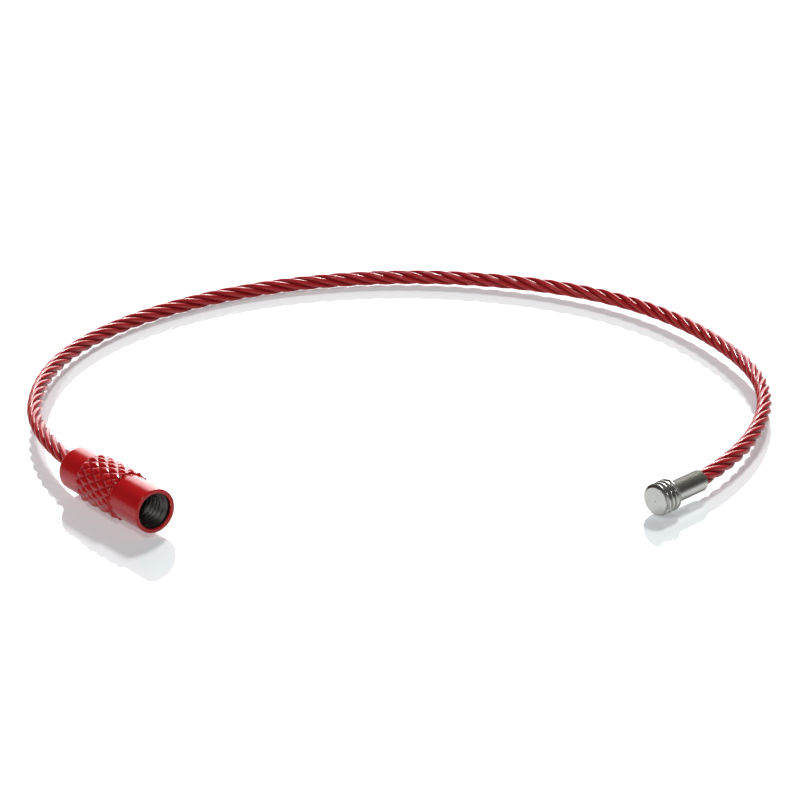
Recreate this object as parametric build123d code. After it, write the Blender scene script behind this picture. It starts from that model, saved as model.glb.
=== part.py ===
from build123d import *
import math
import os

# A loop of red stranded wire rope, lying open on a table. One end carries a knurled screw
# barrel that turns and slides on the rope, the other a threaded stud that screws into it.
# Millimetres, +Z up. The origin is on the table, at the middle of the loop's box.

# --- Driving dimensions -------------------------------------------------------------------
ROPE_DIAMETER = 2.0

THREAD_MAJOR = 4.0            # M4 x 0.7
TAP_DRILL = 3.3

BARREL_LENGTH = 17.0
BARREL_DIAMETER = 5.4
KNURL_DIAMETER = 6.2
KNURL_START = 5.6             # from the mouth
KNURL_END = 12.8
BARREL_REAR_ROUND = 0.5
MOUTH_DIAMETER = 4.4
MOUTH_DEPTH = 0.6
THREAD_DEPTH = 6.4            # from the mouth
CHAMBER_DIAMETER = 2.9        # where the ferrule slides
BACK_WALL = 2.35
ROPE_HOLE_DIAMETER = 2.4

FERRULE_LENGTH = 4.0
FERRULE_DIAMETER = 2.75
FERRULE_END_GAP = 0.05
FERRULE_ROPE_CLEARANCE = 0.02

HEAD_LENGTH = 2.4
HEAD_CHAMFER = 0.35
NECK_DIAMETER = 2.65
NECK_LENGTH = 6.1
NECK_CHAMFER = 0.3
CRIMP_DEPTH = 4.0

FLEX_HINGES = 6
FLEX_GAP = 0.6                # room for the rope's neighbouring spans to fold

# --- Places -------------------------------------------------------------------------------
LOOP_CENTRE = Vector(-0.15, -2.6, 0.0)
MOUTH_CENTRE = LOOP_CENTRE + Vector(-28.4, -40.6, KNURL_DIAMETER / 2)
MOUTH_HEADING = -52.5         # degrees from +X, the way the barrel's mouth faces
FACE_CENTRE = LOOP_CENTRE + Vector(30.25, -36.0, THREAD_MAJOR / 2)
FACE_HEADING = -133.5         # the way the stud's end face looks

# The rope's route round the back of the loop, from the barrel to the stud, about the loop's
# centre. It rests on the table at the back and rises to the two fittings.
ROUTE = [
    (-47.0, 8.6, 1.6),
    (-38.4, 28.6, 1.1),
    (-20.6, 42.9, 1.0),
    (1.5, 47.6, 1.1),
    (22.9, 41.9, 1.3),
    (37.4, 29.3, 1.6),
    (46.6, 8.6, 2.0),
    (46.8, -8.6, 2.0),
]
BARREL_TO_FIRST_CORNER = 10.4
STUD_TO_LAST_CORNER = 5.0


def heading(degrees):
    angle = math.radians(degrees)
    return Vector(math.cos(angle), math.sin(angle), 0.0)


def behind(front, degrees, distance):
    """The point that lies a distance behind a fitting's front, on its axis."""
    return front - heading(degrees) * distance


def lathe(outline, front, degrees):
    """A turned piece: outline holds (distance behind the front, radius) pairs."""
    profile = Polyline(*[(radius, -depth) for depth, radius in outline], close=True)
    turned = revolve(Plane.XZ * make_face(profile), axis=Axis.Z)
    return Plane(origin=front, z_dir=heading(degrees)) * turned


# --- The barrel's end ---------------------------------------------------------------------
def screw_barrel():
    plain, knurl = BARREL_DIAMETER / 2, KNURL_DIAMETER / 2
    step = knurl - plain
    bore, chamber, hole = TAP_DRILL / 2, CHAMBER_DIAMETER / 2, ROPE_HOLE_DIAMETER / 2
    outline = [
        (MOUTH_DEPTH + MOUTH_DIAMETER / 2 - bore, bore),
        (MOUTH_DEPTH, MOUTH_DIAMETER / 2),
        (0.0, MOUTH_DIAMETER / 2),
        (0.0, plain),
        (KNURL_START, plain),
        (KNURL_START + step / 2, knurl),
        (KNURL_END - step / 2, knurl),
        (KNURL_END, plain),
        (BARREL_LENGTH - BARREL_REAR_ROUND, plain),
        (BARREL_LENGTH, plain - BARREL_REAR_ROUND),
        (BARREL_LENGTH, hole),
        (BARREL_LENGTH - BACK_WALL, hole),
        (BARREL_LENGTH - BACK_WALL, chamber),
        (THREAD_DEPTH, chamber),
        (THREAD_DEPTH, bore),
    ]
    return lathe(outline, MOUTH_CENTRE, MOUTH_HEADING)


FERRULE_BACK = BARREL_LENGTH - BACK_WALL - FERRULE_END_GAP
FERRULE_FRONT = FERRULE_BACK - FERRULE_LENGTH


def stop_ferrule():
    inner = ROPE_DIAMETER / 2 + FERRULE_ROPE_CLEARANCE
    outer = FERRULE_DIAMETER / 2
    outline = [
        (FERRULE_FRONT, inner),
        (FERRULE_FRONT, outer),
        (FERRULE_BACK, outer),
        (FERRULE_BACK, inner),
    ]
    return lathe(outline, MOUTH_CENTRE, MOUTH_HEADING)


# --- The stud's end -----------------------------------------------------------------------
STUD_LENGTH = HEAD_LENGTH + NECK_LENGTH


def threaded_stud():
    head, neck = THREAD_MAJOR / 2, NECK_DIAMETER / 2
    socket = ROPE_DIAMETER / 2
    outline = [
        (0.0, 0.0),
        (0.0, head - HEAD_CHAMFER),
        (HEAD_CHAMFER, head),
        (HEAD_LENGTH, head),
        (HEAD_LENGTH + head - neck, neck),
        (STUD_LENGTH - NECK_CHAMFER, neck),
        (STUD_LENGTH, neck - NECK_CHAMFER / 2),
        (STUD_LENGTH, socket),
        (STUD_LENGTH - CRIMP_DEPTH, socket),
        (STUD_LENGTH - CRIMP_DEPTH, 0.0),
    ]
    return lathe(outline, FACE_CENTRE, FACE_HEADING)


# --- The rope -----------------------------------------------------------------------------
def rope_path():
    """Straight runs joined by arcs, each as large as its two runs allow."""
    points = [
        behind(MOUTH_CENTRE, MOUTH_HEADING, FERRULE_FRONT),
        behind(MOUTH_CENTRE, MOUTH_HEADING, BARREL_LENGTH + BARREL_TO_FIRST_CORNER),
        *[LOOP_CENTRE + Vector(*point) for point in ROUTE],
        behind(FACE_CENTRE, FACE_HEADING, STUD_LENGTH + STUD_TO_LAST_CORNER),
        behind(FACE_CENTRE, FACE_HEADING, STUD_LENGTH - CRIMP_DEPTH),
    ]
    runs = [after - before for before, after in zip(points, points[1:])]
    radii = []
    for run, following in zip(runs, runs[1:]):
        half_turn = math.radians(run.get_angle(following)) / 2
        radii.append(0.45 * min(run.length, following.length) / math.tan(half_turn))
    print("rope runs, mm:", [round(run.length, 1) for run in runs])
    print("rope arc radii, mm:", [round(radius, 1) for radius in radii])
    return FilletPolyline(*points, radius=radii)


def rope_spans(path):
    """The rope cut into spans at its flex hinges, in order from the barrel."""
    in_barrel = BARREL_LENGTH - FERRULE_FRONT
    free = path.length - in_barrel - CRIMP_DEPTH
    half_gap = FLEX_GAP / 2
    cuts = [in_barrel + free * (i + 0.5) / FLEX_HINGES for i in range(FLEX_HINGES)]
    for number, cut in enumerate(cuts, 1):
        hinge, along = path @ (cut / path.length), path % (cut / path.length)
        print(f"flex hinge {number}: at", tuple(hinge), "along", tuple(along))
    starts = [0.0] + [cut + half_gap for cut in cuts]
    ends = [cut - half_gap for cut in cuts] + [path.length]
    spans = []
    for start, end in zip(starts, ends):
        line = path.trim(start / path.length, end / path.length)
        section = Plane(origin=line @ 0, z_dir=line % 0) * Circle(ROPE_DIAMETER / 2)
        spans.append(sweep(section, path=line))
    section_area = math.pi * ROPE_DIAMETER**2 / 4
    expected = section_area * (path.length - FLEX_HINGES * FLEX_GAP)
    volume = sum(span.volume for span in spans)
    print(f"rope length {path.length:.1f} mm, free {free:.1f} mm")
    print(f"rope volume {volume:.2f} mm3, section times length {expected:.2f} mm3")
    return spans


nodes = {
    "screw_barrel": screw_barrel(),
    "stop_ferrule": stop_ferrule(),
    "threaded_stud": threaded_stud(),
}
for number, span in enumerate(rope_spans(rope_path()), 1):
    nodes[f"wire_rope_{number}"] = span

os.makedirs("parts", exist_ok=True)
for name, solid in nodes.items():
    export_step(solid, f"parts/{name}.step")

box = Compound(children=list(nodes.values())).bounding_box()
print("box", box.min, box.max, "middle", box.center())
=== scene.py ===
import math

import bpy
import numpy as np
from mathutils import Matrix, Vector


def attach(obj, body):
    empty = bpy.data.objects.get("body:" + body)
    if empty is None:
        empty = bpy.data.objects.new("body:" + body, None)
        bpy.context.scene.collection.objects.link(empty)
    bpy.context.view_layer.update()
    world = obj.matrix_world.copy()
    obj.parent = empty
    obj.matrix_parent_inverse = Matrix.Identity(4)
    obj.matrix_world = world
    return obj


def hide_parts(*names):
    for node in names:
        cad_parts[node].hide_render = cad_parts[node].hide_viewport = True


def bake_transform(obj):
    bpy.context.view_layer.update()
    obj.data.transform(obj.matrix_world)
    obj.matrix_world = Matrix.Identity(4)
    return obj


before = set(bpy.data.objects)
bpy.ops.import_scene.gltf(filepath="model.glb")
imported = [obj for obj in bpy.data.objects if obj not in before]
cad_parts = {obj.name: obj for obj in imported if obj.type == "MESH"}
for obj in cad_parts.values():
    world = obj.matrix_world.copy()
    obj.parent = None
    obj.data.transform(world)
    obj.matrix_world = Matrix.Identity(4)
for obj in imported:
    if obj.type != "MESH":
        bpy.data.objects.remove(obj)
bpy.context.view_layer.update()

# A loop of red stranded wire rope lying open on a table: a knurled screw barrel on one end
# and a threaded stud on the other. The scene is in metres, +Z up, with the table at z = 0.
# Sizes and places are in millimetres here, and MM turns them into metres.
MM = 0.001

# --- Places and shared sizes, as the CAD source has them ----------------------------------
LOOP_CENTRE = np.array((-0.15, -2.6, 0.0))
MOUTH = LOOP_CENTRE + (-28.4, -40.6, 3.1)
MOUTH_HEADING = -52.5         # degrees from +X, the way the barrel's mouth faces
FACE = LOOP_CENTRE + (30.25, -36.0, 2.0)
FACE_HEADING = -133.5         # the way the stud's end face looks
ROUTE = LOOP_CENTRE + np.array([
    (-47.0, 8.6, 1.6),
    (-38.4, 28.6, 1.1),
    (-20.6, 42.9, 1.0),
    (1.5, 47.6, 1.1),
    (22.9, 41.9, 1.3),
    (37.4, 29.3, 1.6),
    (46.6, 8.6, 2.0),
    (46.8, -8.6, 2.0),
])
ROPE_START = 10.6             # behind the mouth, at the ferrule's front
FIRST_CORNER = 27.4           # behind the mouth
LAST_CORNER = 13.5            # behind the stud's face
ROPE_END = 4.5                # behind the stud's face, at the bottom of its socket
BARREL_LENGTH = 17.0
STUD_LENGTH = 8.5
THREAD_MAJOR, THREAD_PITCH = 2.0, 0.7      # the M4 thread's radius over its crests, its pitch

UP = np.array((0.0, 0.0, 1.0))


def heading(degrees):
    angle = math.radians(degrees)
    return np.array((math.cos(angle), math.sin(angle), 0.0))


def behind(front, degrees, distance):
    """The point that lies a distance behind a fitting's front, on its axis."""
    return front - heading(degrees) * distance


# --- Camera -------------------------------------------------------------------------------
CAMERA_ELEVATION = math.radians(21.72)
CAMERA_DISTANCE = 418.5 * MM
CAMERA_ROLL = math.radians(-0.413)
camera_data = bpy.data.cameras.new("camera")
camera_data.sensor_width = 36.0
camera_data.lens = 146.55
camera_data.shift_x = 0.00225
camera_data.shift_y = 0.007
camera_data.clip_start = 0.01
camera_data.clip_end = 20.0
camera = bpy.data.objects.new("camera", camera_data)
bpy.context.scene.collection.objects.link(camera)
bpy.context.scene.camera = camera
back = Vector((0.0, -math.cos(CAMERA_ELEVATION), math.sin(CAMERA_ELEVATION)))
camera.rotation_mode = "QUATERNION"
camera.location = Vector(LOOP_CENTRE * MM) + back * CAMERA_DISTANCE
turned_to_loop = (-back).to_track_quat("-Z", "Y")
camera.rotation_quaternion = turned_to_loop @ Matrix.Rotation(CAMERA_ROLL, 3, "Z").to_quaternion()


# --- Node helpers -------------------------------------------------------------------------
class Nodes:
    """A material's or the world's node tree, with short ways to add and join nodes."""

    def __init__(self, owner):
        owner.use_nodes = True
        self.tree = owner.node_tree
        self.tree.nodes.clear()

    def add(self, kind, settings=None, **values):
        node = self.tree.nodes.new(kind)
        for key, value in (settings or {}).items():
            setattr(node, key, value)
        for key, value in values.items():
            self.put(node, key.replace("_", " "), value)
        return node

    def put(self, node, key, value):
        """Set or link one input, by its name or by its number, as in #0."""
        socket = node.inputs[int(key[1:])] if key[:1] == "#" else node.inputs[key]
        if isinstance(value, bpy.types.NodeSocket):
            self.tree.links.new(value, socket)
        else:
            socket.default_value = value

    def math(self, operation, a, b):
        node = self.add("ShaderNodeMath", {"operation": operation})
        self.put(node, "#0", a)
        self.put(node, "#1", b)
        return node.outputs[0]

    def ramp(self, value, low, high, out_low, out_high):
        node = self.add("ShaderNodeMapRange", {"interpolation_type": "SMOOTHSTEP", "clamp": True})
        for key, v in zip(("Value", "From Min", "From Max", "To Min", "To Max"),
                          (value, low, high, out_low, out_high)):
            self.put(node, key, v)
        return node.outputs["Result"]

    def mix(self, factor, a, b):
        node = self.add("ShaderNodeMix", {"data_type": "RGBA"})
        self.put(node, "#0", factor)
        self.put(node, "#6", a)
        self.put(node, "#7", b)
        return node.outputs[2]

    def noise(self, scale, detail, roughness=0.5):
        place = self.add("ShaderNodeTexCoord").outputs["Object"]
        node = self.add("ShaderNodeTexNoise", Vector=place, Scale=scale, Detail=detail,
                        Roughness=roughness)
        return node.outputs["Fac"]

    def attribute(self, name):
        node = self.add("ShaderNodeAttribute", {"attribute_name": name})
        return node.outputs["Fac"]

    def bump(self, height, distance, strength):
        node = self.add("ShaderNodeBump", Height=height, Strength=strength, Distance=distance)
        return node.outputs["Normal"]


def material(name, build):
    made = bpy.data.materials.new(name)
    nodes = Nodes(made)
    shader = nodes.add("ShaderNodeBsdfPrincipled")
    build(nodes, shader)
    output = nodes.add("ShaderNodeOutputMaterial")
    nodes.put(output, "Surface", shader.outputs[0])
    return made


def rgb(r, g, b):
    return (r, g, b, 1.0)


# --- Materials: the meshes carry how deep each point lies in a groove, which sets painted shade, and a mark for the painted dark reflection on the stud neck's upper side ---
def barrel_paint(nodes, shader):
    cloud = nodes.noise(900.0, 4.0)
    grain = nodes.noise(5200.0, 2.0)
    colour = nodes.mix(cloud, rgb(0.50, 0.006, 0.009), rgb(0.58, 0.008, 0.011))
    # painted shade: the red is darkened in the knurl's grooves, by the mesh's groove value
    painted_groove_shade = nodes.math("MULTIPLY", nodes.attribute("groove"), 0.4)
    nodes.put(shader, "Base Color", nodes.mix(painted_groove_shade, colour, rgb(0.25, 0.003, 0.005)))
    nodes.put(shader, "Roughness", nodes.ramp(cloud, 0.3, 0.7, 0.15, 0.21))
    nodes.put(shader, "Normal", nodes.bump(grain, 0.012 * MM, 0.8))
    nodes.put(shader, "Specular IOR Level", 0.45)


def rope_paint(nodes, shader):
    cloud = nodes.noise(700.0, 4.0)
    fine = nodes.noise(12000.0, 2.0)
    colour = nodes.mix(cloud, rgb(0.50, 0.022, 0.026), rgb(0.60, 0.030, 0.034))
    groove = nodes.attribute("groove")
    # painted shade: the red is darkened in the valleys between strands and, a little, between wires
    painted_groove_shade = nodes.math("MULTIPLY", groove, 0.75)
    nodes.put(shader, "Base Color", nodes.mix(painted_groove_shade, colour, rgb(0.22, 0.005, 0.007)))
    nodes.put(shader, "Roughness", nodes.ramp(cloud, 0.3, 0.7, 0.18, 0.27))
    nodes.put(shader, "Normal", nodes.bump(fine, 0.004 * MM, 0.4))
    nodes.put(shader, "Specular IOR Level", nodes.ramp(groove, 0.1, 0.7, 0.36, 0.12))


def bare_bore(nodes, shader):
    cloud = nodes.noise(1500.0, 4.0)
    colour = nodes.mix(cloud, rgb(0.08, 0.075, 0.068), rgb(0.20, 0.19, 0.175))
    nodes.put(shader, "Base Color", colour)
    nodes.put(shader, "Metallic", 1.0)
    nodes.put(shader, "Roughness", nodes.ramp(cloud, 0.3, 0.7, 0.35, 0.55))


def nickel(nodes, shader):
    cloud = nodes.noise(1200.0, 4.0)
    streak = nodes.noise(6000.0, 3.0, 0.6)
    colour = nodes.mix(cloud, rgb(0.60, 0.585, 0.54), rgb(0.70, 0.685, 0.645))
    groove = nodes.attribute("groove")
    # painted shade: darker in the thread's roots, behind the head and down the socket
    painted_groove_shade = nodes.math("MULTIPLY", groove, 0.6)
    colour = nodes.mix(painted_groove_shade, colour, rgb(0.16, 0.155, 0.135))
    patchy = nodes.ramp(streak, 0.25, 0.6, 0.80, 0.97)
    # painted dark reflection: the neck's upper side is made dark, less metallic and rougher, in patchy
    # streaks
    painted_dark_reflection = nodes.math("MULTIPLY", nodes.attribute("painted_dark_reflection"), patchy)
    nodes.put(shader, "Base Color", nodes.mix(painted_dark_reflection, colour, rgb(0.085, 0.082, 0.068)))
    nodes.put(shader, "Metallic", nodes.ramp(painted_dark_reflection, 0.0, 0.9, 1.0, 0.25))
    nodes.put(shader, "Specular Tint", rgb(0.35, 0.35, 0.33))
    dull_groove = nodes.math("MULTIPLY", groove, 0.25)
    dull_painted_dark_reflection = nodes.math("MULTIPLY", painted_dark_reflection, 0.4)
    dull = nodes.math("ADD", dull_groove, dull_painted_dark_reflection)
    polish = nodes.ramp(streak, 0.3, 0.7, 0.13, 0.24)
    nodes.put(shader, "Roughness", nodes.math("ADD", dull, polish))
    nodes.put(shader, "Specular IOR Level", 0.25)
    nodes.put(shader, "Normal", nodes.bump(streak, 0.003 * MM, 0.5))


def ferrule_steel(nodes, shader):
    cloud = nodes.noise(2000.0, 4.0)
    colour = nodes.mix(cloud, rgb(0.38, 0.37, 0.36), rgb(0.55, 0.54, 0.52))
    nodes.put(shader, "Base Color", colour)
    nodes.put(shader, "Metallic", 1.0)
    nodes.put(shader, "Roughness", nodes.ramp(cloud, 0.3, 0.7, 0.30, 0.45))


def table_white(nodes, shader):
    cloud = nodes.noise(3.0, 2.0)
    colour = nodes.mix(cloud, rgb(0.57, 0.60, 0.615), rgb(0.59, 0.62, 0.635))
    nodes.put(shader, "Base Color", colour)
    nodes.put(shader, "Emission Color", colour)
    nodes.put(shader, "Emission Strength", 0.5)
    nodes.put(shader, "Roughness", 0.03)
    nodes.put(shader, "IOR", 1.62)


RED_BARREL = material("barrel_paint", barrel_paint)
RED_ROPE = material("rope_paint", rope_paint)
BARE_BORE = material("bare_bore", bare_bore)
NICKEL = material("nickel", nickel)
FERRULE = material("ferrule_steel", ferrule_steel)
TABLE = material("table_white", table_white)


# --- Mesh helpers -------------------------------------------------------------------------
def mesh_object(name, points, faces, materials, marks=None, face_material=None, sharp=60.0):
    """A smooth mesh; marks are named values, one per point, that the materials read."""
    mesh = bpy.data.meshes.new(name)
    mesh.from_pydata(np.asarray(points).tolist(), [], faces)
    for m in materials:
        mesh.materials.append(m)
    mesh.polygons.foreach_set("use_smooth", np.ones(len(mesh.polygons), bool))
    if face_material is not None:
        mesh.polygons.foreach_set("material_index", np.asarray(face_material, np.int32))
    for mark, values in (marks or {}).items():
        layer = mesh.attributes.new(mark, "FLOAT", "POINT")
        layer.data.foreach_set("value", np.asarray(values, np.float32))
    mesh.set_sharp_from_angle(angle=math.radians(sharp))
    mesh.validate()
    mesh.update()
    made = bpy.data.objects.new(name, mesh)
    bpy.context.scene.collection.objects.link(made)
    return made


def strip_faces(rows, columns, closed=False):
    """Quads between neighbouring rings of points, each ring going right round."""
    faces = []
    for i in range(rows if closed else rows - 1):
        a, b = i * columns, (i + 1) % rows * columns
        for j in range(columns):
            k = (j + 1) % columns
            faces.append((a + j, a + k, b + k, b + j))
    return faces


def cap_faces(rows, columns):
    """Fans that close the first and the last ring on the two points added after the rings."""
    first, last, tail = rows * columns, rows * columns + 1, (rows - 1) * columns
    faces = []
    for j in range(columns):
        k = (j + 1) % columns
        faces.append((first, k, j))
        faces.append((last, tail + j, tail + k))
    return faces


# --- The rope -----------------------------------------------------------------------------
STRANDS = 5
STRAND_RADIUS = 0.378 * MM
STRAND_CENTRE = 0.622 * MM    # from the rope's axis
STRAND_LAY = 13.9 * MM        # one turn of a strand
VALLEY = math.radians(104.0)  # from a strand's crown to where the paint bridges it to the next
GROOVE_FROM = math.radians(35.0)           # from the crown to where the groove's painted shade begins
GROOVE_WIDTH = math.radians(60.0)
STRAND_POINTS = 18            # across a strand
WIRES = 6
WIRE_LAY = 4.7 * MM           # one turn of a wire in its strand, the other way
WIRE_RELIEF = 0.004 * MM
WIRE_ROUNDING = 0.02          # keeps the valley between two wires from being sharp
# painted shade between neighbouring wires of a strand
WIRE_SHADE = 0.25
RING_STEP = 0.16 * MM
TANGENT_REACH = 0.5 * MM
SPLINE_STEPS = 96             # between two points of the route
ROPE_SHARP = 65.0             # faces that meet at more degrees than this have a sharp edge
SPANS = 6


def route_points():
    """The rope's centre line, read from a smooth spline through the route."""
    corners = [behind(MOUTH, MOUTH_HEADING, ROPE_START),
               behind(MOUTH, MOUTH_HEADING, FIRST_CORNER),
               *ROUTE,
               behind(FACE, FACE_HEADING, LAST_CORNER),
               behind(FACE, FACE_HEADING, ROPE_END)]
    curve = bpy.data.curves.new("route", "CURVE")
    curve.dimensions = "3D"
    spline = curve.splines.new("NURBS")
    spline.points.add(len(corners) - 1)
    for point, corner in zip(spline.points, corners):
        point.co = (*(corner * MM), 1.0)
    spline.order_u = 3
    spline.use_endpoint_u = True
    spline.resolution_u = SPLINE_STEPS
    holder = bpy.data.objects.new("route", curve)
    bpy.context.scene.collection.objects.link(holder)
    bpy.context.view_layer.update()
    line = bpy.data.meshes.new_from_object(holder)
    points = np.array([v.co for v in line.vertices])
    bpy.data.objects.remove(holder)
    bpy.data.curves.remove(curve)
    bpy.data.meshes.remove(line)
    return points


LINE = route_points()
STEPS = np.linalg.norm(np.diff(LINE, axis=0), axis=1)
LINE_LENGTH = np.concatenate(([0.0], np.cumsum(STEPS)))
ROPE_LENGTH = LINE_LENGTH[-1]


def on_route(s):
    """The centre line's points at lengths s from the rope's start."""
    return np.stack([np.interp(s, LINE_LENGTH, LINE[:, k]) for k in range(3)], axis=-1)


def rope_rings(stations):
    """A ring of points round the rope at each station, and how deep each lies in a groove."""
    centre = on_route(stations)
    ahead = on_route(np.minimum(stations + TANGENT_REACH, ROPE_LENGTH))
    tangent = ahead - on_route(np.maximum(stations - TANGENT_REACH, 0.0))
    tangent /= np.linalg.norm(tangent, axis=1, keepdims=True)
    up = UP - tangent * tangent[:, 2:3]
    up /= np.linalg.norm(up, axis=1, keepdims=True)
    side = np.cross(tangent, up)
    beta = np.tile(np.linspace(-VALLEY, VALLEY, STRAND_POINTS), STRANDS)
    strand = np.repeat(np.arange(STRANDS) * 2 * math.pi / STRANDS, STRAND_POINTS)
    wire = beta[None, :] + 2 * math.pi * stations[:, None] / WIRE_LAY
    wave = np.sqrt(np.sin(WIRES / 2 * wire) ** 2 + WIRE_ROUNDING)
    radius = STRAND_RADIUS + WIRE_RELIEF * (wave - 1.0)
    x = STRAND_CENTRE + radius * np.cos(beta)
    y = radius * np.sin(beta)
    angle = strand[None, :] + 2 * math.pi * stations[:, None] / STRAND_LAY
    a = x * np.cos(angle) - y * np.sin(angle)
    b = x * np.sin(angle) + y * np.cos(angle)
    points = centre[:, None, :] + a[..., None] * up[:, None, :] + b[..., None] * side[:, None, :]
    # the groove value sets painted shade: in the valleys between strands, and a little between wires
    depth = np.clip((np.abs(beta) - GROOVE_FROM) / GROOVE_WIDTH, 0.0, 1.0)
    groove = np.clip(depth[None, :] + WIRE_SHADE * (1.0 - wave), 0.0, 1.0)
    return points, groove


def rope_piece(name, start, end):
    count = max(2, round((end - start) / RING_STEP)) + 1
    stations = np.linspace(start, end, count)
    points, groove = rope_rings(stations)
    columns = STRANDS * STRAND_POINTS
    faces = strip_faces(count, columns) + cap_faces(count, columns)
    points = np.concatenate((points.reshape(-1, 3), on_route(stations[[0, -1]])))
    groove = np.concatenate((groove.ravel(), (1.0, 1.0)))
    made = mesh_object(name, points, [f[::-1] for f in faces], [RED_ROPE], {"groove": groove},
                       sharp=ROPE_SHARP)
    return made, stations


# The rope's seven CAD bodies, cut at six hinges, are drawn as six spans; the first span stands in for
# the first two bodies.
free_start = (BARREL_LENGTH - ROPE_START) * MM
free_end = ROPE_LENGTH - (STUD_LENGTH - ROPE_END) * MM
cuts = np.linspace(free_start, free_end, SPANS + 1)
for span in range(SPANS):
    start = 0.0 if span == 0 else cuts[span]
    end = ROPE_LENGTH if span == SPANS - 1 else cuts[span + 1]
    piece, stations = rope_piece(f"rope_{span + 1}", start, end)
    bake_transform(piece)
    stands_for = ["wire_rope_1", "wire_rope_2"] if span == 0 else [f"wire_rope_{span + 2}"]
    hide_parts(*stands_for)


# --- Turned pieces: depths are from the front, radii from the axis, in millimetres --------
TURNED_SHARP = 70.0


def round_angles(columns):
    return np.arange(columns) * 2 * math.pi / columns


def stretch(depth, radius, groove=0.0, bare=0.0):
    """Rings of a turned piece: four tables of rows by columns."""
    return [np.broadcast_to(values, depth.shape) for values in (depth, radius, groove, bare)]


def plain(outline, columns, groove=0.0, bare=0.0):
    """Rings that are round, through an outline of (depth, radius) pairs."""
    table = np.array(outline, float)
    ones = np.ones(columns)
    return stretch(table[:, 0:1] * ones, table[:, 1:2] * ones, groove, bare)


def joined(stretches):
    return [np.concatenate(tables) for tables in zip(*stretches)]


def straight(radius, start, end, count):
    return [(depth, radius) for depth in np.linspace(start, end, count)]


def flat(depth, start, end, count):
    return [(depth, radius) for radius in np.linspace(start, end, count)]


def arc(depth, radius, r, start, end, count):
    """A round of radius r, with its centre at the given depth and radius."""
    angles = np.radians(np.linspace(start, end, count))
    return [(depth + r * math.cos(a), radius + r * math.sin(a)) for a in angles]


def in_place(front, degrees, depth, radius):
    """The rings' points in metres, on the axis of the fitting."""
    along = -heading(degrees)
    theta = round_angles(depth.shape[1])
    out = np.cos(theta)[:, None] * UP + np.sin(theta)[:, None] * np.cross(along, UP)
    return front * MM + MM * (depth[..., None] * along + radius[..., None] * out[None, :, :])


def triangle(x):
    """A wave with a period of 1 that rises from 0 to 1 and falls back, both in a straight line."""
    return 1.0 - np.abs(2.0 * (x - np.floor(x)) - 1.0)


def thread(depth, steepness, land):
    """The right-hand thread's form at each point of the rings, from 0 to 1."""
    turn = round_angles(depth.shape[1])[None, :] / (2 * math.pi)
    return np.clip(triangle(depth / THREAD_PITCH - turn) * steepness - land, 0.0, 1.0)


# --- The barrel ---------------------------------------------------------------------------
PLAIN, KNURL = 2.7, 3.1
KNURL_START, KNURL_END = 5.6, 12.8
KNURLS = 15                   # diamonds round the band
KNURL_PITCH = 2.2             # a diamond's length along the barrel
KNURL_STEPS = 24              # points across a diamond
KNURL_DEPTH = 0.24
KNURL_FULLNESS = 1.6          # above 1, the diamonds have domed tops and narrow grooves
KNURL_BEVEL = 0.22            # where the band slopes down to the plain barrel
KNURL_EDGE = 0.03             # from the band's ends to its first and last rings
KNURL_SHADE = 1.6             # above 1, only the groove's bottom gets painted shade
REAR_ROUND = 0.5
RIM_ROUND = 0.12
MOUTH_RADIUS, MOUTH_DEPTH = 2.2, 0.6
BORE = 1.65
THREAD_DEPTH = 6.4
THREAD_ROWS = 106
THREAD_FADE = 0.5
INSIDE_FORM = (1.25, 0.12)    # the inside thread's steepness and the width of its land
CHAMBER, BACK_WALL, HOLE = 1.45, 2.35, 1.3
EDGE_BREAK = 0.03             # how much a sharp edge is broken
BARREL_COLUMNS = KNURLS * KNURL_STEPS


def knurl_band():
    """Two crossing sets of spiral grooves, which leave pointed diamonds between them."""
    d = np.arange(KNURL_START + KNURL_EDGE, KNURL_END - KNURL_EDGE, KNURL_PITCH / KNURL_STEPS)
    depth = np.repeat(d[:, None], BARREL_COLUMNS, 1)
    along = (depth - KNURL_START) / KNURL_PITCH
    around = KNURLS * round_angles(BARREL_COLUMNS)[None, :] / (2 * math.pi)
    height = np.minimum(triangle(along + around), triangle(along - around))
    height = 1.0 - (1.0 - height) ** KNURL_FULLNESS
    edge = np.minimum(depth - KNURL_START, KNURL_END - depth)
    body = KNURL - (KNURL - PLAIN) * np.clip(1.0 - edge / KNURL_BEVEL, 0.0, 1.0)
    radius = np.maximum(body - KNURL_DEPTH * (1.0 - height), PLAIN + 0.005)
    # how much painted shade each point of the knurl gets, deepest in the grooves
    groove = np.clip(1.0 - height * KNURL_SHADE, 0.0, 1.0)
    return stretch(depth, radius, groove)


def outside():
    """From the mouth's rim along the barrel to the edge of its back wall's hole."""
    rear = BARREL_LENGTH - REAR_ROUND
    return [
        plain(arc(RIM_ROUND, PLAIN - RIM_ROUND, RIM_ROUND, 180.0, 90.0, 6), BARREL_COLUMNS),
        plain(straight(PLAIN, 0.4, KNURL_START - 0.12, 12), BARREL_COLUMNS),
        plain([(KNURL_START - 0.05, PLAIN), (KNURL_START, PLAIN + 0.02)], BARREL_COLUMNS),
        knurl_band(),
        plain([(KNURL_END, PLAIN + 0.02), (KNURL_END + 0.05, PLAIN)], BARREL_COLUMNS),
        plain(straight(PLAIN, KNURL_END + 0.12, rear, 10)[:-1], BARREL_COLUMNS),
        plain(arc(rear, PLAIN - REAR_ROUND, REAR_ROUND, 90.0, 0.0, 12), BARREL_COLUMNS),
        plain(flat(BARREL_LENGTH, PLAIN - REAR_ROUND - 0.06, HOLE + 0.12, 8), BARREL_COLUMNS),
    ]


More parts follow.
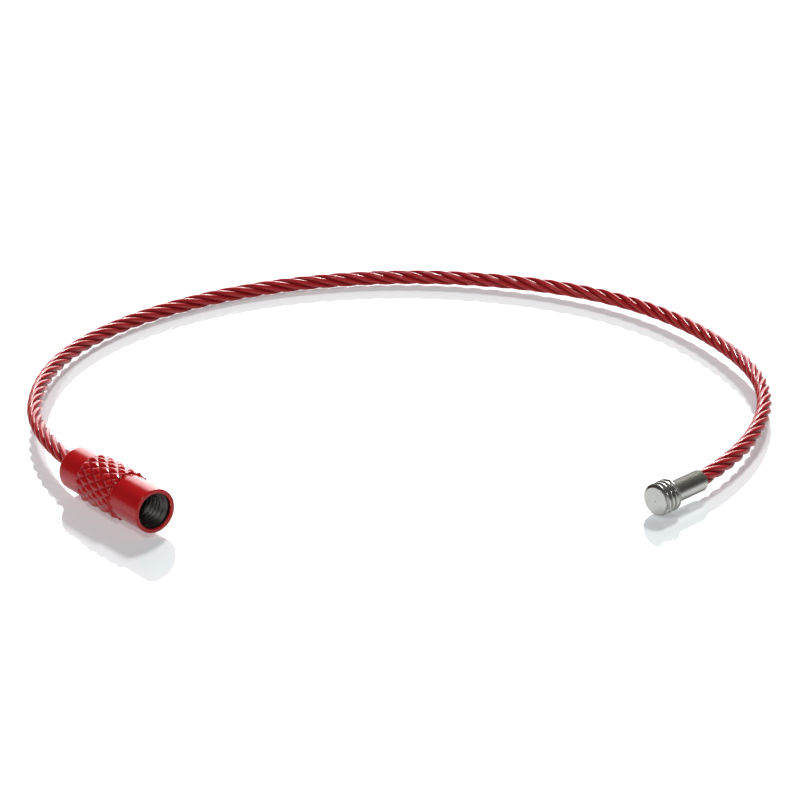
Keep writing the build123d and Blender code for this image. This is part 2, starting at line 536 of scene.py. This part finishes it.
def behind_the_thread():
    """The rope's hole and the ferrule's chamber, from the back to the end of the thread."""
    wall = BARREL_LENGTH - BACK_WALL
    hole_edge = [(BARREL_LENGTH - EDGE_BREAK, HOLE + EDGE_BREAK), (BARREL_LENGTH - 0.1, HOLE)]
    hole = straight(HOLE, BARREL_LENGTH - 0.4, wall, 6)
    chamber = [(wall, CHAMBER), *straight(CHAMBER, wall - 0.2, THREAD_DEPTH + 0.1, 10)]
    step = flat(THREAD_DEPTH + 0.02, CHAMBER, BORE - EDGE_BREAK, 2)
    return [
        plain(hole_edge, BARREL_COLUMNS, 0.6, bare=1.0),
        plain(hole, BARREL_COLUMNS, 1.0, bare=1.0),
        plain(chamber, BARREL_COLUMNS, 0.8, bare=1.0),
        plain(step, BARREL_COLUMNS, 0.6, bare=1.0),
    ]


def inside_thread():
    """The thread, and the cone at its mouth that it runs out into."""
    start = MOUTH_DEPTH + MOUTH_RADIUS - BORE
    d = np.linspace(THREAD_DEPTH, start, THREAD_ROWS)
    depth = np.repeat(d[:, None], BARREL_COLUMNS, 1)
    cut = thread(depth, *INSIDE_FORM)
    fade = np.clip((THREAD_DEPTH - depth) / THREAD_FADE, 0.0, 1.0)
    full = stretch(depth, BORE + (THREAD_MAJOR - BORE) * cut * fade, cut, 1.0)
    widening = [(start - t, BORE + t + 0.02)
                for t in np.linspace(0.06, MOUTH_RADIUS - BORE - 0.02, 8)]
    depth, cone = plain(widening, BARREL_COLUMNS)[:2]
    cut_radius = BORE + (THREAD_MAJOR - BORE) * thread(depth, *INSIDE_FORM)
    return [full, stretch(depth, np.maximum(cone, np.minimum(cut_radius, MOUTH_RADIUS)), 0.3, 1.0)]


def mouth():
    """The counterbore, its rounded edge and the flat of the rim."""
    rounded = [(0.1, MOUTH_RADIUS + 0.01), (0.03, MOUTH_RADIUS + 0.05), (0.0, MOUTH_RADIUS + 0.1)]
    rim = flat(0.0, MOUTH_RADIUS + 0.15, PLAIN - RIM_ROUND - 0.03, 4)
    return [
        plain(straight(MOUTH_RADIUS, MOUTH_DEPTH, 0.2, 5), BARREL_COLUMNS, bare=1.0),
        plain(rounded, BARREL_COLUMNS),
        plain(rim, BARREL_COLUMNS),
    ]


def barrel():
    stretches = [*outside(), *behind_the_thread(), *inside_thread(), *mouth()]
    depth, radius, groove, bare = joined(stretches)
    points = in_place(MOUTH, MOUTH_HEADING, depth, radius)
    faces = strip_faces(len(depth), BARREL_COLUMNS, closed=True)
    between_bare_rings = (bare[:, 0] + np.roll(bare[:, 0], -1)) > 1.5
    return mesh_object("barrel", points.reshape(-1, 3), faces, [RED_BARREL, BARE_BORE],
                       {"groove": groove.ravel()}, np.repeat(between_bare_rings, BARREL_COLUMNS),
                       sharp=TURNED_SHARP)


piece = barrel()
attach(piece, "barrel")
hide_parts("screw_barrel")

# --- The stud -----------------------------------------------------------------------------
HEAD_LENGTH, HEAD_CHAMFER = 2.4, 0.35
FACE_EDGE = 1.62
CENTRE_MARK, CENTRE_MARK_DEPTH = 0.16, 0.05
TOOL_MARK, TOOL_MARK_PITCH = 0.004, 0.115  # the turned rings on the face
TOOL_MARK_FROM = 0.2
THREAD_ROOT = 1.57
ROOT_RISE = 0.25              # where the thread runs out, at the back of the head
OUTSIDE_FORM = (1.5, 0.18)    # the outside thread's steepness and the width of its land
CREST_ROUNDING = 0.0025       # keeps the crests from being sharp
SHOULDER, SHOULDER_ROUND = 1.85, 0.14
FLARE = [(0.17, 1.80), (0.33, 1.64), (0.48, 1.49), (0.60, 1.39), (0.74, 1.34)]  # behind the head
NECK, NECK_CHAMFER = 1.325, 0.3
NECK_END = [(0.18, 0.03), (0.08, 0.08), (0.0, 0.15)]   # before the back, below the neck
SOCKET, SOCKET_DEPTH = 1.02, 4.0
STUD_COLUMNS = 240


def stud_face():
    """A flat with fine turned rings and a mark at its centre."""
    r = np.concatenate((np.linspace(0.03, TOOL_MARK_FROM, 5), np.linspace(0.24, FACE_EDGE, 48)))
    dimple = CENTRE_MARK_DEPTH * np.clip(1.0 - r / CENTRE_MARK, 0.0, 1.0)
    rings = TOOL_MARK * np.sin(2 * math.pi * r / TOOL_MARK_PITCH) * (r > TOOL_MARK_FROM)
    return [*zip(dimple + rings + TOOL_MARK, r), (0.02, FACE_EDGE + 0.04)]


def outside_thread():
    d = np.arange(0.05, HEAD_LENGTH, 0.035)
    depth = np.repeat(d[:, None], STUD_COLUMNS, 1)
    tooth = 1.0 - np.sqrt((1.0 - thread(depth, *OUTSIDE_FORM)) ** 2 + CREST_ROUNDING)
    lead = FACE_EDGE + 0.03
    crest = np.minimum(THREAD_MAJOR, lead + depth * (THREAD_MAJOR - lead) / HEAD_CHAMFER)
    tail = np.clip((HEAD_LENGTH - depth) / THREAD_FADE, 0.0, 1.0)
    root = THREAD_ROOT + (1.0 - tail) * ROOT_RISE
    radius = np.minimum(crest, root + (THREAD_MAJOR - root) * tooth)
    return stretch(depth, radius, np.clip((crest - radius) / 0.4, 0.0, 1.0))


def stud():
    bottom = STUD_LENGTH - SOCKET_DEPTH
    shoulder = arc(HEAD_LENGTH + 0.02, SHOULDER, SHOULDER_ROUND, 90.0, 10.0, 6)
    flare = [(HEAD_LENGTH + behind_head, radius) for behind_head, radius in FLARE]
    neck = straight(NECK, HEAD_LENGTH + 0.9, STUD_LENGTH - NECK_CHAMFER, 16)
    neck_end = [(STUD_LENGTH - d, NECK - below) for d, below in NECK_END]
    socket_edge = [(STUD_LENGTH, SOCKET + 0.04), (STUD_LENGTH - 0.05, SOCKET)]
    socket = [*straight(SOCKET, STUD_LENGTH - 0.4, bottom, 6), (bottom, 0.4), (bottom, 0.05)]
    # the third value of a stretch sets painted shade, here behind the head and down the socket
    depth, radius, groove, _ = joined([
        plain(stud_face(), STUD_COLUMNS),
        outside_thread(),
        plain(shoulder, STUD_COLUMNS),
        plain(flare, STUD_COLUMNS, 0.15),
        plain(neck + neck_end, STUD_COLUMNS),
        plain(socket_edge, STUD_COLUMNS, 0.5),
        plain(socket, STUD_COLUMNS, 1.0),
    ])
    points = in_place(FACE, FACE_HEADING, depth, radius).reshape(-1, 3)
    ends = [behind(FACE, FACE_HEADING, d) * MM for d in (CENTRE_MARK_DEPTH + 0.005, bottom)]
    faces = strip_faces(len(depth), STUD_COLUMNS) + cap_faces(len(depth), STUD_COLUMNS)
    # the neck's upper side, where a dark reflection is painted
    on_neck = np.clip((depth - HEAD_LENGTH) / 0.5, 0.0, 1.0)
    upper = np.clip((np.cos(round_angles(STUD_COLUMNS)) - 0.12) / 0.3, 0.0, 1.0)
    marks = {"groove": np.concatenate((groove.ravel(), (0.3, 1.0))),
             "painted_dark_reflection": np.concatenate(((on_neck * upper).ravel(), (0.0, 0.0)))}
    return mesh_object("stud", np.concatenate((points, ends)), faces, [NICKEL], marks,
                       sharp=TURNED_SHARP)


piece = stud()
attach(piece, "stud_end_of_rope")
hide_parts("threaded_stud")

# --- The ferrule, as the CAD has it -------------------------------------------------------
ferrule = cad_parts["stop_ferrule"]
ferrule.data.materials.clear()
ferrule.data.materials.append(FERRULE)

# --- Table and light ----------------------------------------------------------------------
TABLE_HALF = 4.0              # metres
TABLE_CORNERS = [(x * TABLE_HALF, y * TABLE_HALF, 0.0) for x, y in ((-1, -1), (1, -1), (1, 1), (-1, 1))]
table = mesh_object("table", TABLE_CORNERS, [(0, 1, 2, 3)], [TABLE])

PANEL = (0.0, 0.95, 0.31)     # the way to the bright panel behind the table
PANEL_EDGE, PANEL_MIDDLE = 0.89, 0.975     # cosines of the angle from it
PANEL_STRENGTH = 3.8
ROOM_STRENGTH = 0.06

world = bpy.data.worlds.new("studio")
bpy.context.scene.world = world
sky = Nodes(world)
direction = sky.add("ShaderNodeTexCoord").outputs["Generated"]
dot = sky.add("ShaderNodeVectorMath", {"operation": "DOT_PRODUCT"})
sky.put(dot, "#0", direction)
sky.put(dot, "#1", tuple(Vector(PANEL).normalized()))
panel = sky.ramp(dot.outputs["Value"], PANEL_EDGE, PANEL_MIDDLE, 0.0, PANEL_STRENGTH)
background = sky.add("ShaderNodeBackground", Color=rgb(0.97, 0.985, 1.0),
                     Strength=sky.math("ADD", panel, ROOM_STRENGTH))
sky.put(sky.add("ShaderNodeOutputWorld"), "Surface", background.outputs[0])


def lamp(name, toward, energy, spread, colour):
    """A softbox far off: toward is the way from the loop to the lamp."""
    data = bpy.data.lights.new(name, "SUN")
    data.energy = energy
    data.angle = math.radians(spread)
    data.color = colour
    made = bpy.data.objects.new(name, data)
    made.rotation_mode = "QUATERNION"
    made.rotation_quaternion = (-Vector(toward)).to_track_quat("-Z", "Y")
    bpy.context.scene.collection.objects.link(made)


lamp("key", (0.316, 1.05, 1.0), 2.7, 8.0, (1.0, 0.985, 0.96))
lamp("fill", (-0.35, -0.38, 0.86), 0.9, 9.0, (1.0, 0.99, 0.98))
lamp("front", (0.02, -0.90, 0.50), 0.35, 4.0, (1.0, 0.99, 0.98))

bpy.context.scene.view_settings.view_transform = "Standard"
